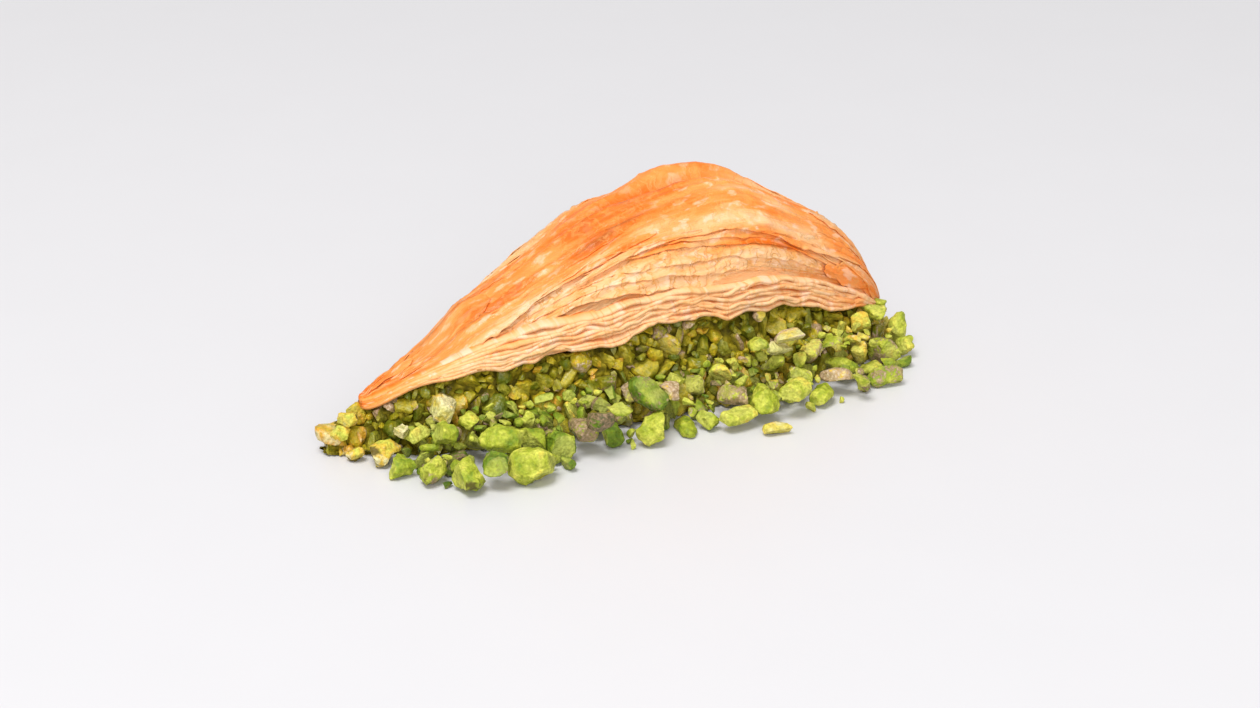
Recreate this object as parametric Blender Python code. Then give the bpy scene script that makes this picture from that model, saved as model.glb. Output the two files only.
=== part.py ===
"""A mussel-shaped baklava piece: a puffed filo pastry lying on its chopped pistachio filling, with loose nuts in front.

The pastry points towards -X and its blunt end is at +X. The open side that the loose nuts spill from faces -Y.
Every solid is lofted: a closed outline in the YZ plane is worked out at each station along X, and the outlines are skinned.
Sizes are in metres. The origin is the middle of the footprint, on the surface that the piece lies on.
"""

import math

import bmesh
import bpy
from mathutils import Vector, noise

# Driving sizes.
PASTRY_LENGTH = 0.160
PASTRY_HEIGHT = 0.056       # the top of the crust, above the surface that the piece lies on
FRONT_DEPTH = 0.017         # from the long axis to the pastry's front edge
BACK_DEPTH = 0.033          # from the long axis to its back edge
CREST_SHIFT = 0.007         # how far behind the long axis the crest lies
GAP = 0.0004                # between pieces that touch

# The pastry along its length: (share of the length from the tip, share of the pastry's height).
CREST_LINE = [(0.00, 0.25), (0.12, 0.40), (0.22, 0.58), (0.36, 0.795), (0.48, 0.95), (0.60, 1.00),
              (0.70, 0.98), (0.80, 0.82), (0.90, 0.65), (0.96, 0.45), (1.00, 0.20)]
FOOT_LINE = [(0.00, 0.20), (0.09, 0.32), (0.22, 0.36), (0.34, 0.38), (0.50, 0.45), (0.60, 0.415),
             (0.72, 0.40), (0.80, 0.37), (0.87, 0.29), (0.94, 0.23), (1.00, 0.13)]
EDGE_WAVE = 0.0009          # how much the pastry's lower edges rise and dip
EDGE_WAVES = 70             # how many times to a metre
TIP_WIDTH = 0.0030          # of the pastry at either end
# Fullness in plan: (lean of the widest place towards the blunt end, roundness of the ends).
FRONT_PLAN = (1.15, 0.45)
BACK_PLAN = (1.40, 0.80)
SIDE_RISE = 2.4             # a side stays steep for longer as this grows
SIDE_REACH = 2.2            # and rounds over more fully at the top as this grows

# Flaky sheets that show as ledges on the pastry's sides, under the crust.
SHEETS = 8
SHEET_DEPTH = 0.0011        # from a sheet's edge to the groove above it
SHEET_THICKNESS = 0.72      # share of the step from sheet to sheet
SHEET_WAVER = 0.020         # how much a sheet's level wavers, as a share of the side's height
SHEET_WAVES = 60            # how many times to a metre
CRUST_SHARE = 0.60          # how far up the side the crust's lower edge lies
CRUST_LIP = 0.0010          # how far the crust stands out over the sheets
CRUST_SWELL = 0.0018        # how much the crust swells and sinks
CRUST_SWELLS = 45           # how many times to a metre
CRUST_POINTS = 13
FULL_RELIEF_HEIGHT = 0.020  # the sheets and swells fade where the pastry is thinner than this

# The filling under the pastry, and the nuts that have spilled from it.
FILLING_OVERRUN_TIP = 0.011     # how far the filling reaches past the pastry's tip
FILLING_OVERRUN_END = 0.003
FILLING_SET_BACK = 0.0018       # of the filling's wall from the pastry's edge
FILLING_SPREAD = 0.0065         # how far the wall's base spreads out past the pastry's edge
FILLING_CLOSING_TIP = 0.030     # the length over which the filling's plan rounds off at the tip
FILLING_CLOSING_END = 0.016     # and at the blunt end
FILLING_END_HALF = 0.0008       # half its width where it ends
FILLING_LEAST_HALF = 0.0006     # and the least that is allowed anywhere
FILLING_BUMPS_HEIGHT = 0.012    # the bumps fade where the filling is lower than this
WALL_SHARES = (0.0, 0.14, 0.32, 0.52, 0.74, 0.92, 1.0)      # of the wall's height, where its outline has points
KERNEL = 0.0100                 # the usual size of a piece of nut, which sets the size of the bumps
BUMP = 0.0026                   # depth of the hollows between nuts
SPILL_BUMP = 1.2 * BUMP         # deeper between the loose nuts
SPILL_STEPS = 8                 # points down the bank of loose nuts
SPILL_START = -0.079            # along X
SPILL_STOP = 0.0855
# Along X, in metres: how far in front of the long axis the loose nuts reach, and how high they are piled.
SPILL_TOE = [(-0.079, 0.0140), (-0.075, 0.0270), (-0.068, 0.0370), (-0.054, 0.0430), (-0.044, 0.0420),
             (-0.034, 0.0360), (-0.018, 0.0350), (0.000, 0.0335), (0.011, 0.0365), (0.0155, 0.0455),
             (0.0235, 0.0460), (0.029, 0.0385), (0.048, 0.0365), (0.061, 0.0320), (0.072, 0.0250),
             (0.0815, 0.0150), (0.0855, 0.0040)]
SPILL_HEIGHT = [(-0.079, 0.0030), (-0.072, 0.0080), (-0.060, 0.0110), (-0.020, 0.0120), (0.030, 0.0125),
                (0.060, 0.0130), (0.076, 0.0135), (0.081, 0.0120), (0.0855, 0.0050)]

PASTRY_STATIONS = 44
FILLING_STATIONS = 56
SPILL_STATIONS = 64


def curve_through(points, x):
    """The height at x of a smooth curve through (x, height) points, level past its ends."""
    xs = [p[0] for p in points]
    if x <= xs[0]:
        return points[0][1]
    if x >= xs[-1]:
        return points[-1][1]
    i = max(k for k in range(len(xs) - 1) if xs[k] <= x)

    def slope(k):
        low = max(k - 1, 0)
        high = min(k + 1, len(points) - 1)
        return (points[high][1] - points[low][1]) / (xs[high] - xs[low])

    width = xs[i + 1] - xs[i]
    t = (x - xs[i]) / width
    start = (2 * t**3 - 3 * t**2 + 1) * points[i][1] + (t**3 - 2 * t**2 + t) * width * slope(i)
    end = (3 * t**2 - 2 * t**3) * points[i + 1][1] + (t**3 - t**2) * width * slope(i + 1)
    return start + end


def eased_stations(start, stop, count):
    """Places along X that crowd together towards both ends, where an outline closes fastest."""
    return [start + (stop - start) * (1 - math.cos(math.pi * i / (count - 1))) / 2 for i in range(count)]


def share_of_length(x):
    return min(1.0, max(0.0, x / PASTRY_LENGTH + 0.5))


def fullness(share, lean, roundness):
    """The pastry's width in plan, from 0 at its ends to 1. More lean puts the widest place nearer the blunt end."""
    return math.sin(math.pi * share**lean) ** roundness if 0 < share < 1 else 0.0


def front_edge(x):
    return -FRONT_DEPTH * fullness(share_of_length(x), *FRONT_PLAN) - TIP_WIDTH / 2


def back_edge(x):
    return BACK_DEPTH * fullness(share_of_length(x), *BACK_PLAN) + TIP_WIDTH / 2


def foot_height(x):
    return PASTRY_HEIGHT * curve_through(FOOT_LINE, share_of_length(x))


def crest_height(x):
    return PASTRY_HEIGHT * curve_through(CREST_LINE, share_of_length(x))


def side_curve(share_up):
    """How far out a side is at a share of its height: steep at first and rounded over at the top."""
    return (1 - share_up**SIDE_RISE) ** (1 / SIDE_REACH)


def sheet_levels():
    """(share of the height, offset) up one side: each sheet's edge stands out, with a groove above it."""
    levels = []
    for i in range(SHEETS):
        low = CRUST_SHARE * i / SHEETS
        high = CRUST_SHARE * (i + SHEET_THICKNESS) / SHEETS
        levels += [(low, 0.0), (high, -SHEET_DEPTH)]
    return levels


def pastry_outline(x):
    """The pastry's closed outline at x: up the front, over the crust, down the back and along the underside."""
    foot, crest = foot_height(x), crest_height(x)
    front, back = front_edge(x), back_edge(x)
    middle = CREST_SHIFT * fullness(share_of_length(x), *BACK_PLAN)
    height = crest - foot
    relief = min(1.0, height / FULL_RELIEF_HEIGHT)

    def side(y_edge, seed):
        reach = y_edge - middle
        outward = 1 if reach > 0 else -1
        points = []
        for share_up, offset in sheet_levels():
            waver = noise.noise(Vector((x * SHEET_WAVES, share_up * 9, seed)))
            level = share_up + SHEET_WAVER * waver * (share_up > 0)
            y = middle + reach * side_curve(level) + outward * offset * relief * (0.8 + 0.5 * waver)
            points.append((y, foot + height * level))
        wave = EDGE_WAVE * relief * noise.noise(Vector((x * EDGE_WAVES, seed, 0.0)))
        points[0] = (points[0][0], points[0][1] + wave)
        return points

    crust = []
    crown_start = math.asin(CRUST_SHARE)
    for i in range(CRUST_POINTS):
        angle = crown_start + (math.pi - 2 * crown_start) * i / (CRUST_POINTS - 1)
        share_up = math.sin(angle)
        y_edge = front if angle < math.pi / 2 else back
        lip = CRUST_LIP * relief * (i in (0, CRUST_POINTS - 1))
        swell = CRUST_SWELL * relief * noise.noise(Vector((x * CRUST_SWELLS, angle * 1.6, 7.0))) * share_up
        y = middle + (y_edge - middle) * side_curve(share_up) + lip * (1 if y_edge > middle else -1)
        crust.append((y, foot + height * share_up + swell))
    across = (back - front) / 4
    underside = [(back - across * i, foot) for i in (1, 2, 3)]
    return side(front, 1.0) + crust + side(back, 4.0)[::-1] + underside


def hollow(x, y, z, seed):
    """0 on a nut's crown and 1 in the hollow between nuts."""
    place = Vector((x, y, z)) / KERNEL
    place.z += seed
    return min(1.0, max(0.0, 1.15 * noise.voronoi(place)[0][0] - 0.05))


def filling_wall(x, share_up):
    """How far out past the pastry's edge the filling's wall is, at a share of its height."""
    return FILLING_SPREAD * (1 - share_up) ** 1.3 - FILLING_SET_BACK * share_up


def filling_top(x):
    half = PASTRY_LENGTH / 2
    past_tip = max(0.0, (-half - x) / FILLING_OVERRUN_TIP)
    past_end = max(0.0, (x - half) / FILLING_OVERRUN_END)
    rounding = math.sqrt(max(0.02, 1 - min(1.0, past_tip + past_end) ** 2))
    return (foot_height(x) - GAP) * rounding


def filling_edge(x, edge, share_up):
    """Y of the filling's wall, before its bumps, on the side of the given pastry edge."""
    half = PASTRY_LENGTH / 2
    start, stop = -half - FILLING_OVERRUN_TIP, half + FILLING_OVERRUN_END
    to_start = min(1.0, (x - start) / FILLING_CLOSING_TIP)
    to_stop = min(1.0, (stop - x) / FILLING_CLOSING_END)
    closing = math.sqrt(max(0.0, 1 - (1 - to_start) ** 2)) * math.sqrt(max(0.0, 1 - (1 - to_stop) ** 2))
    out = abs(edge) + filling_wall(x, share_up)
    return math.copysign(max(FILLING_END_HALF + out * closing, FILLING_LEAST_HALF), edge)


def filling_outline(x):
    """The filling's closed outline at x, with bumpy sides and a flat base and top."""
    top = filling_top(x)
    relief = min(1.0, top / FILLING_BUMPS_HEIGHT)

    def wall(edge, seed):
        points = []
        for share_up in WALL_SHARES:
            y = filling_edge(x, edge, share_up)
            dent = BUMP * relief * hollow(x, y, top * share_up, seed) * (share_up < 1)
            if abs(y) > 4 * BUMP:
                y -= math.copysign(dent, y)
            points.append((y, top * share_up))
        return points

    front, back = wall(front_edge(x), 0.0), wall(back_edge(x), 9.0)
    width = back[-1][0] - front[-1][0]
    across = [(front[-1][0] + width * i / 6, top) for i in range(1, 6)]
    under = [(back[0][0] - (back[0][0] - front[0][0]) * i / 4, 0.0) for i in (1, 2, 3)]
    return front + across + back[::-1] + under


def spill_outline(x):
    """The loose nuts' closed outline at x: a bank against the filling's front wall, or round the blunt end."""
    toe = -curve_through(SPILL_TOE, x)
    height = curve_through(SPILL_HEIGHT, x)
    filling_stop = PASTRY_LENGTH / 2 + FILLING_OVERRUN_END
    inner = []
    for share in (0.0, 0.5, 1.0):
        z = height * share
        share_up = min(1.0, z / max(filling_top(min(x, filling_stop)), 0.004))
        if x < filling_stop:
            y = filling_edge(x, front_edge(x), share_up) - GAP
        else:
            y = -FILLING_LEAST_HALF - GAP
        if x < PASTRY_LENGTH / 2 + 2 * GAP and z > foot_height(x) - EDGE_WAVE - 3 * GAP:
            y = min(y, front_edge(x) - 4 * GAP)
        inner.append((y, z))
    outer = []
    for i in range(1, SPILL_STEPS + 1):
        along = i / SPILL_STEPS
        y = inner[-1][0] + (toe - inner[-1][0]) * along
        z = height * (1 - along**1.7) ** 0.8
        dent = SPILL_BUMP * hollow(x, y, z, 3.0) * math.sin(math.pi * min(1.0, along * 1.1))
        outer.append((y, max(0.0, z - max(0.0, dent)) if i < SPILL_STEPS else 0.0))
    under = [(toe + (inner[0][0] - toe) * share, 0.0) for share in (1 / 3, 2 / 3)]
    return inner + outer + under


def loft(name, stations, outline, material):
    """One closed solid skinned over the outline at each station."""
    mesh = bmesh.new()
    loops = [[mesh.verts.new((x, y, z)) for y, z in outline(x)] for x in stations]
    for near, far in zip(loops, loops[1:]):
        for i in range(len(near)):
            j = (i + 1) % len(near)
            mesh.faces.new((near[i], near[j], far[j], far[i]))
    mesh.faces.new(loops[0])
    mesh.faces.new(loops[-1])
    bmesh.ops.triangulate(mesh, faces=[f for f in mesh.faces if len(f.verts) > 4])
    bmesh.ops.recalc_face_normals(mesh, faces=mesh.faces)
    data = bpy.data.meshes.new(name)
    mesh.to_mesh(data)
    mesh.free()
    data.materials.append(material)
    data.shade_smooth()
    piece = bpy.data.objects.new(name, data)
    bpy.context.scene.collection.objects.link(piece)
    return piece


def food_material(name, colour, roughness):
    material = bpy.data.materials.new(name)
    material.use_nodes = True
    shader = material.node_tree.nodes["Principled BSDF"]
    shader.inputs["Base Color"].default_value = (*colour, 1.0)
    shader.inputs["Roughness"].default_value = roughness
    shader.inputs["Metallic"].default_value = 0.0
    return material


def centre_on_footprint(pieces):
    """Moves the pieces together, so that the origin is the middle of what they cover, on the surface they lie on."""
    corners = [vertex.co for piece in pieces for vertex in piece.data.vertices]
    middle = Vector((
        (min(c.x for c in corners) + max(c.x for c in corners)) / 2,
        (min(c.y for c in corners) + max(c.y for c in corners)) / 2,
        min(c.z for c in corners),
    ))
    holder = bpy.data.objects.new("baklava", None)
    bpy.context.scene.collection.objects.link(holder)
    holder.location = -middle
    for piece in pieces:
        piece.parent = holder


def main():
    for old in list(bpy.data.objects):
        bpy.data.objects.remove(old)
    half = PASTRY_LENGTH / 2
    pastry = loft(
        "pastry",
        eased_stations(-half, half, PASTRY_STATIONS),
        pastry_outline,
        food_material("filo", (0.80, 0.42, 0.13), 0.40),
    )
    filling = loft(
        "filling",
        eased_stations(-half - FILLING_OVERRUN_TIP, half + FILLING_OVERRUN_END, FILLING_STATIONS),
        filling_outline,
        food_material("pistachio_filling", (0.30, 0.33, 0.05), 0.55),
    )
    loose_nuts = loft(
        "loose_nuts",
        eased_stations(SPILL_START, SPILL_STOP, SPILL_STATIONS),
        spill_outline,
        food_material("pistachio", (0.33, 0.52, 0.06), 0.60),
    )
    centre_on_footprint([pastry, filling, loose_nuts])


main()
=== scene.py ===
# %% [markdown]
# # A mussel-shaped baklava piece
# The real thing is a puffed shell of baked filo leaves, folded over a bank of chopped pistachios, with
# loose nuts spilled in front of it. The frame gives three plain solids: the pastry, the filling and the
# loose nuts. This lesson replaces each of them with what it is really made of: thin leaves with open edges,
# and hundreds of separate pieces of nut.

# %% Load the frame
import math
import random

import bpy
import numpy as np
from mathutils import Euler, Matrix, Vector, noise
from mathutils.bvhtree import BVHTree


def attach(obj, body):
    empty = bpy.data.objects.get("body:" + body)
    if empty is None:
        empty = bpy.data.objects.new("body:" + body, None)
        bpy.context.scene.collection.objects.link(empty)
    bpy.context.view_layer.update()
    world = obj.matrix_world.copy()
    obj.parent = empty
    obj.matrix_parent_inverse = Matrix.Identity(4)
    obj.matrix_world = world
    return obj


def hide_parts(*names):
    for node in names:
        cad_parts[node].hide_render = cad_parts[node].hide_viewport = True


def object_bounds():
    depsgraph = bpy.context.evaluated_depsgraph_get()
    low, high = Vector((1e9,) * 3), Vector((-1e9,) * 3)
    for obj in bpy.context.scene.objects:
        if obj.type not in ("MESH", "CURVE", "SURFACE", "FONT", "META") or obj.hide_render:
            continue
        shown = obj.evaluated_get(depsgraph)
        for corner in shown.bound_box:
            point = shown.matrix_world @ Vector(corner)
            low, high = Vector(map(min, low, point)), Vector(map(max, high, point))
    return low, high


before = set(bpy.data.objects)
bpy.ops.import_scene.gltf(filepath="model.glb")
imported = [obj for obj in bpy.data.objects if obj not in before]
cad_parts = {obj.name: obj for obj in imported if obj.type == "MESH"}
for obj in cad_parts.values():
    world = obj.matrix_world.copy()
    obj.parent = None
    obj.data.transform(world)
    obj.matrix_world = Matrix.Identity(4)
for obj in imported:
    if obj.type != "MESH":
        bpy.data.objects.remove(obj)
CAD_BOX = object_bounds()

MM = 0.001
draw = random.Random(7)
print("CAD box in mm:", [[round(value / MM, 1) for value in corner] for corner in CAD_BOX])

# %% [markdown]
# ## Working with operators
# An operator acts on whatever is selected, so every piece starts with nothing selected. A piece is finished
# the same way each time: it rides on the one body there is, the solid that it stands for is hidden, and it
# gets its material.

# %% Helpers for every piece
def nothing_selected():
    """Deselects every object, so that the next operator acts on the new piece only."""
    bpy.ops.object.select_all(action="DESELECT")


def apply_modifier(piece, kind, **settings):
    """Adds a modifier with these settings and applies it."""
    modifier = piece.modifiers.new(kind.title(), kind)
    for name, value in settings.items():
        setattr(modifier, name, value)
    bpy.context.view_layer.objects.active = piece
    bpy.ops.object.modifier_apply(modifier=modifier.name)


def edit_all(operator, **settings):
    """Runs an operator in edit mode on the whole of the active piece."""
    bpy.ops.object.mode_set(mode="EDIT")
    bpy.ops.mesh.select_all(action="SELECT")
    operator(**settings)
    bpy.ops.object.mode_set(mode="OBJECT")


def new_object(name, data):
    """An object with this mesh, lamp or camera, linked to the scene."""
    made = bpy.data.objects.new(name, data)
    bpy.context.scene.collection.objects.link(made)
    return made


def finish_piece(piece, node, material):
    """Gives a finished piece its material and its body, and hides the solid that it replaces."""
    piece.data.materials.clear()
    piece.data.materials.append(material)
    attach(piece, "root")
    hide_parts(node)
    piece.data.calc_loop_triangles()
    print(f"{piece.name}: {len(piece.data.loop_triangles)} triangles")


def points_of(mesh):
    """The places of a mesh's points, as rows of x, y, z."""
    return np.array([vertex.co for vertex in mesh.vertices])


def move_points(mesh, points):
    """Moves a mesh's points to these places."""
    mesh.vertices.foreach_set("co", points.astype(np.float32).ravel())
    mesh.update()


def set_attribute(mesh, name, values):
    """Stores a number or a row of three for each point of the mesh, for the materials to read."""
    values = np.asarray(values, np.float32)
    kind, field = ("FLOAT", "value") if values.ndim == 1 else ("FLOAT_VECTOR", "vector")
    attribute = mesh.attributes.new(name, kind, "POINT")
    attribute.data.foreach_set(field, values.ravel())


def lumps(points, size, seed=0.0):
    """Smooth noise between -1 and 1 at each point; size is the width of a lump, for each axis or for all."""
    places = np.asarray(points, float) / np.asarray(size, float) + seed
    return np.array([noise.noise(place) for place in places.tolist()])


def ease(value, start, stop):
    """0 before start, 1 after stop, and a smooth step between them."""
    share = np.clip((np.asarray(value, float) - start) / (stop - start), 0.0, 1.0)
    return share * share * (3.0 - 2.0 * share)


def curve(points, value):
    """The height at value of the line through (place, height) points."""
    places, heights = zip(*points)
    return np.interp(value, places, heights)

# %% [markdown]
# ## The shape that every leaf follows
# All the filo leaves follow one dome. Its cross-section is read from the pastry solid: at each place along
# the length there is a crest, a front foot and a back foot. Between them the side is a rounded arch. A
# place on the dome is then a share of the length from the tip, and an angle: 0 at the front foot, 90 at the
# crest and 180 at the back foot.

# %% Read the pastry's cross-sections
def read_sections():
    """The pastry's sections as rows of x, crest y and z, front foot y and z, back foot y and z."""
    places = points_of(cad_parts["pastry"].data)
    rows = []
    for x in np.unique(places[:, 0].round(5)):
        ring = places[np.abs(places[:, 0] - x) < 1e-5]
        if len(ring) < 6:
            continue
        crest = ring[ring[:, 2].argmax()]
        front = ring[ring[:, 1].argmin()]
        back = ring[ring[:, 1].argmax()]
        rows.append([x, crest[1], crest[2], front[1], front[2], back[1], back[2]])
    return np.array(rows)


SECTIONS = read_sections()
TIP_X = SECTIONS[0, 0]
LENGTH = SECTIONS[-1, 0] - TIP_X
print(f"{len(SECTIONS)} sections over {LENGTH / MM:.1f} mm")

# %% A place on the dome
ARCH_RISE = 2.0 / 2.4        # how full the arch is at its shoulder, upwards
ARCH_REACH = 2.0 / 2.2       # and outwards


def section_at(share):
    """Crest y and z, front foot y and z, back foot y and z, at these shares of the length."""
    x = TIP_X + LENGTH * np.clip(share, 0.0, 1.0)
    return x, [np.interp(x, SECTIONS[:, 0], SECTIONS[:, column]) for column in range(1, 7)]


def height_at(share):
    """How high the dome is above its feet, in metres."""
    x, (crest_y, crest_z, front_y, front_z, back_y, back_z) = section_at(share)
    return crest_z - (front_z + back_z) / 2


def on_dome(share, angle):
    """Points on the smooth dome, as an array of rows x, y, z."""
    x, (crest_y, crest_z, front_y, front_z, back_y, back_z) = section_at(share)
    turn = np.radians(np.clip(angle, 0.0, 180.0))
    in_front = np.asarray(angle) < 90.0
    foot_y = np.where(in_front, front_y, back_y)
    foot_z = np.where(in_front, front_z, back_z)
    reach = np.abs(np.cos(turn)) ** ARCH_REACH
    rise = np.abs(np.sin(turn)) ** ARCH_RISE
    return np.stack([x, crest_y + (foot_y - crest_y) * reach, foot_z + (crest_z - foot_z) * rise], axis=1)


def out_of_dome(share, angle):
    """The outward direction at each place, from two short steps along and around the dome."""
    step_along = on_dome(share + 0.004, angle) - on_dome(share - 0.004, angle)
    step_round = on_dome(share, angle + 1.5) - on_dome(share, angle - 1.5)
    out = np.cross(step_along, step_round)
    return out / np.maximum(np.linalg.norm(out, axis=1, keepdims=True), 1e-12)


def over_dome(share, angle, height):
    """Points at these heights over the smooth dome."""
    return on_dome(share, angle) + out_of_dome(share, angle) * height[:, None]

# %% [markdown]
# ## Laying a leaf
# A filo leaf is a sheet about as thick as card once it is baked. Each one starts as a flat grid. Its points
# are then laid on the dome by a function of two shares, along and across, and a Solidify modifier gives it
# its thickness. Each point keeps two numbers for the materials: how toasted it is, together with some
# painted light and shade, and its place on the leaf, so that streaks can run along the leaf.

# %% Lay one leaf
AROUND = 110 * MM            # the usual way round the dome, which sets the scale of patterns across it


def dome_map(share, angle):
    """The place on the unrolled dome in metres, where patterns are drawn."""
    return np.stack([share * LENGTH, angle / 180.0 * AROUND, np.zeros(len(share))], axis=1)


def lay_leaf(name, faces_along, faces_across, place, thickness):
    """A leaf: place(along, across) gives its points, and the share, angle and toasting of each, which holds
    some painted light and shade.
    """
    nothing_selected()
    bpy.ops.mesh.primitive_grid_add(x_subdivisions=faces_along, y_subdivisions=faces_across, size=2.0)
    leaf = bpy.context.object
    leaf.name = name
    flat = points_of(leaf.data)
    along, across = (flat[:, 0] + 1.0) / 2.0, (flat[:, 1] + 1.0) / 2.0
    points, share, angle, toast = place(along, across)
    move_points(leaf.data, points)
    set_attribute(leaf.data, "toast", toast)
    set_attribute(leaf.data, "lay", dome_map(share, angle))
    apply_modifier(leaf, "SOLIDIFY", thickness=thickness, offset=-1.0, use_even_offset=False)
    bpy.ops.object.shade_smooth()
    return leaf


def ripples(spot, along, across, seed):
    """Smooth noise at places of the unrolled dome; along and across are the width of a lump in mm."""
    return lumps(spot, (along * MM, across * MM, 1.0), seed)

# %% [markdown]
# ## How the dome is folded
# The baked shell isn't smooth. It has two lobes along its crest with a valley between them, long folds that
# run from tip to end and gather at both, and small blisters where steam lifted the top leaf. These are all
# heights above the smooth dome, so every leaf that covers the same place gets the same folds and they nest.

# %% The folds of the shell
FULL_FOLDS = 17 * MM         # the height of the dome from which the folds have their full strength


def calm(share):
    """How strong the folds are: they fade where the shell is thin, at its tip and at its end."""
    return np.clip(height_at(share) / FULL_FOLDS, 0.28, 1.0)


def above_foot(angle):
    """The angle measured up from the nearer foot."""
    return np.minimum(angle, 180.0 - angle)


def fold_height(share, angle):
    """Height of the broad folds over the smooth dome, in metres: two lobes and the valley between them."""
    spot = dome_map(share, angle)
    middle = ease(share, 0.40, 0.56) * (1.0 - ease(share, 0.74, 0.88))
    ridge = -0.7 * np.exp(-((angle - 88.0) / 7.0) ** 2)
    valley = -4.6 * np.exp(-((angle - 103.0) / 6.5) ** 2)
    back_lobe = 3.0 * ease(share, 0.52, 0.64) * np.exp(-((angle - 119.0) / 9.0) ** 2)
    broad = 0.8 * ripples(spot, 30, 14, 3.1)
    long_folds = 1.2 * (0.30 - np.abs(ripples(spot, 46, 8.0, 8.7)) * 1.8)
    sunk = -2.9 * ease(share, 0.20, 0.36) * (1.0 - ease(share, 0.66, 0.80))
    sunk = sunk * ease(above_foot(angle), 30.0, 66.0)
    return (middle * (ridge + valley + back_lobe) + sunk + calm(share) * (broad + long_folds)) * MM


DEGREES_PER_STEP = 10.0      # how far apart the edges of the crust's leaves are, up the side


def step_height(share, angle):
    """Height of the steps where one leaf of the crust ends on the next: a quick rise, then a slow fall."""
    spot = dome_map(share, angle)
    steps_up = above_foot(angle) / DEGREES_PER_STEP
    steps_up = steps_up + 0.9 * ripples(spot, 40, 17, 14.2)
    steps_up = steps_up + 0.22 * ripples(spot, 8, 8, 2.7)
    past_edge = steps_up - np.floor(steps_up)
    strength = 0.30 + 0.45 * ripples(spot, 22, 12, 17.0)
    start = 46.0 - 9.0 * ease(share, 0.40, 0.50)
    smooth_top = 1.0 - 0.80 * ease(above_foot(angle), start, start + 14.0)
    return calm(share) * smooth_top * np.clip(strength, 0.0, 0.7) * (1.0 - past_edge) ** 1.5 * MM


def wrinkle_height(share, angle):
    """Height of the fine wrinkles and blisters, in metres."""
    spot = dome_map(share, angle)
    wrinkles = 0.30 * ripples(spot, 12, 2.6, 5.3)
    creases = -0.45 * ease(-np.abs(ripples(spot, 18, 6.0, 1.9)), -0.07, 0.0)
    crumple = 0.45 * (0.2 - np.abs(ripples(spot, 5.5, 4.5, 6.6)))
    grain = 0.10 * ripples(spot, 1.6, 1.2, 2.2)
    low_down = 1.0 - 0.55 * ease(above_foot(angle), 46.0, 62.0)
    twist = 1.1 * ripples(spot, 5, 3.0, 33.0) * (1.0 - ease(share, 0.05, 0.17))
    return (calm(share) * (low_down * (wrinkles + creases) + crumple + grain) + twist) * MM

# %% [markdown]
# ## Where the oven has browned it, and some painted light and shade
# The crest, the tip and the blunt end are deep golden brown, the sides are paler, and the page edges low
# down are nearly cream. The toasting is worked out in one place and stored on the leaves, so the colour
# runs on from leaf to leaf as it does on the real thing. A few of its patches are painted light and shade
# rather than browning: a painted highlight on the front of the crest, a painted shade line along the front
# lobe's rim and a painted shadow under the crust's lip.

# %% Toasting
# Each patch: share of the length, angle, half-width along as a share, half-width round in degrees, and
# how much browner (or paler, below 0) its middle is.
PATCHES = [
    # the crest and the upper sides; the narrow line at 95 degrees is painted shade along the front lobe's
    # rim, where it stands over the valley
    (0.47, 82, 0.13, 20, 0.48), (0.16, 66, 0.12, 28, 0.20), (0.42, 66, 0.07, 7, 0.20),
    (0.25, 76, 0.08, 9, 0.18), (0.60, 96, 0.08, 12, 0.20), (0.67, 66, 0.07, 9, 0.18),
    (0.84, 64, 0.07, 12, 0.14), (0.64, 95, 0.13, 3.5, 0.34), (0.70, 110, 0.12, 13, 0.14),
    (0.79, 96, 0.04, 7, 0.22),
    # the edge of the shelf, the blunt end and the tip; the narrow band at 29.5 degrees is painted shadow
    # under the crust's lip
    (0.71, 29.5, 0.10, 2.2, 0.45), (0.45, 49, 0.03, 4, 0.22), (0.53, 42, 0.04, 3, 0.20),
    (0.95, 26, 0.05, 16, 0.04), (0.985, 6, 0.06, 14, 0.02), (0.03, 70, 0.07, 70, 0.20),
    # paler places; the broad one at share 0.67 and 45 degrees is a painted highlight on the front of the
    # crest
    (0.34, 84, 0.05, 12, -0.12), (0.67, 45, 0.09, 6, -0.22), (0.51, 54, 0.03, 2.5, -0.30),
    (0.42, 53, 0.04, 2.2, -0.34), (0.33, 75, 0.015, 3, -0.30), (0.33, 44, 0.08, 6, -0.20),
    (0.12, 60, 0.03, 6, -0.14), (0.20, 42, 0.06, 9, -0.22), (0.62, 20, 0.13, 8, -0.20),
    (0.80, 44, 0.06, 6, -0.18),
    # the back
    (0.45, 113, 0.20, 16, 0.22), (0.30, 140, 0.10, 10, -0.20), (0.70, 134, 0.12, 8, -0.24),
    (0.60, 150, 0.12, 3, 0.36), (0.95, 150, 0.05, 20, 0.25),
]
USUAL_TOAST = 0.42           # where there is no patch


def toast_and_painted_light(share, angle):
    """How browned each place is, from 0 for cream to 1 for deep brown, with some painted highlight and shade.
    """
    spot = dome_map(share, angle)
    toast = USUAL_TOAST + 0.17 * ripples(spot, 13, 6, 4.4)
    toast = toast + 0.12 * ripples(spot, 40, 3.2, 9.2)
    for middle, round_at, along, round_by, amount in PATCHES:
        off_along, off_round = (share - middle) / along, (angle - round_at) / round_by
        toast = toast + amount * np.exp(-off_along ** 2 - off_round ** 2)
    return np.clip(toast, 0.0, 1.0)


def near_ends(share):
    """1 at the tip, a little at the blunt end, 0 between: how far the inner leaves are browned too."""
    return 1.0 - ease(share, 0.06, 0.18) + 0.3 * ease(share, 0.84, 0.93)

# %% [markdown]
# ## The crust
# The outermost leaves have baked together into one glazed crust. On the open side it stops part-way down in
# a ragged lip that stands out over the leaves below. It is one dense sheet laid over the whole dome, so
# that its folds catch the light as real folds do.

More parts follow.
